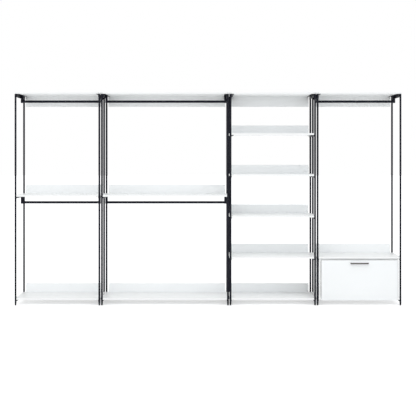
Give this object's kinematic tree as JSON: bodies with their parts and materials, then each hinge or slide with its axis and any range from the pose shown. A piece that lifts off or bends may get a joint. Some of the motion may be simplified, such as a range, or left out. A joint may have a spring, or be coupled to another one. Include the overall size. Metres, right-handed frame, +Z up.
{
  "type": "freestanding closet system",
  "caption": "Row of freestanding steel-framed closet bays with white boards, hanging rods, an open shelf tower and a drawer on telescopic runners.",
  "frame": {"origin": "centre of the footprint on the floor, the drawer's handle counted in", "axes": "+X along the row, from the narrow hanging bay to the drawer bay; +Y from front to back; +Z up"},
  "size_m": [3.868, 0.503, 2.134],
  "materials": {
    "black_powder_coat": "satin black powder coat on steel",
    "white_melamine_board": "white melamine-faced particle board, semi-gloss",
    "drawer_box_board": "white foil-wrapped board, matt",
    "dark_bronze_handle": "dark bronze, satin",
    "black_plastic": "moulded, fine matt",
    "zinc_plated_steel": "bright zinc plate",
    "cage_steel": "pressed strip, dull"
  },
  "bodies": {
    "root": {"narrow_left_frame": "black_powder_coat", "narrow_right_frame": "black_powder_coat", "wide_left_frame": "black_powder_coat", "wide_right_frame": "black_powder_coat", "tower_left_frame": "black_powder_coat", "tower_right_frame": "black_powder_coat", "drawer_bay_left_frame": "black_powder_coat", "drawer_bay_right_frame": "black_powder_coat", "narrow_bottom_board": "white_melamine_board", "narrow_middle_board": "white_melamine_board", "narrow_top_board": "white_melamine_board", "wide_bottom_board": "white_melamine_board", "wide_middle_board": "white_melamine_board", "wide_top_board": "white_melamine_board", "tower_bottom_board": "white_melamine_board", "tower_shelf_1": "white_melamine_board", "tower_shelf_2": "white_melamine_board", "tower_shelf_3": "white_melamine_board", "tower_shelf_4": "white_melamine_board", "tower_top_board": "white_melamine_board", "drawer_bay_bottom_board": "white_melamine_board", "drawer_bay_low_shelf": "white_melamine_board", "drawer_bay_top_board": "white_melamine_board", "narrow_back_lips": "white_melamine_board", "wide_back_lips": "white_melamine_board", "tower_back_lips": "white_melamine_board", "drawer_bay_back_lips": "white_melamine_board", "narrow_middle_rod": "black_powder_coat", "narrow_top_rod": "black_powder_coat", "wide_middle_rod": "black_powder_coat", "wide_top_rod": "black_powder_coat", "drawer_bay_top_rod": "black_powder_coat", "rod_straps": "black_powder_coat", "post_caps": "black_plastic", "floor_glides": "black_plastic", "drawer_case_left_side": "white_melamine_board", "drawer_case_right_side": "white_melamine_board", "drawer_case_rail": "white_melamine_board", "drawer_case_back": "drawer_box_board", "runner_cabinet_members": "zinc_plated_steel"},
    "drawer": {"drawer_front": "white_melamine_board", "drawer_left_side": "drawer_box_board", "drawer_right_side": "drawer_box_board", "drawer_back": "drawer_box_board", "drawer_bottom": "drawer_box_board", "drawer_handle": "dark_bronze_handle", "runner_drawer_members": "zinc_plated_steel"},
    "runner_middle": {"runner_middle_members": "zinc_plated_steel"},
    "outer_cages": {"runner_outer_ball_cages": "cage_steel"},
    "inner_cages": {"runner_inner_ball_cages": "cage_steel"}
  },
  "joints": [
    {"name": "drawer_slide", "type": "slide", "parent": "root", "child": "drawer", "axis": [0, -1, 0], "range_m": [0, 0.38]},
    {"name": "runner_middle_slide", "type": "slide", "parent": "root", "child": "runner_middle", "axis": [0, -1, 0], "range_m": [0, 0.19]},
    {"name": "outer_cages_slide", "type": "slide", "parent": "root", "child": "outer_cages", "axis": [0, -1, 0], "range_m": [0, 0.095]},
    {"name": "inner_cages_slide", "type": "slide", "parent": "root", "child": "inner_cages", "axis": [0, -1, 0], "range_m": [0, 0.285]}
  ],
  "couplings": [
    {"joint": "runner_middle_slide", "follows": "drawer_slide", "ratio": 0.5},
    {"joint": "outer_cages_slide", "follows": "drawer_slide", "ratio": 0.25},
    {"joint": "inner_cages_slide", "follows": "drawer_slide", "ratio": 0.75}
  ]
}
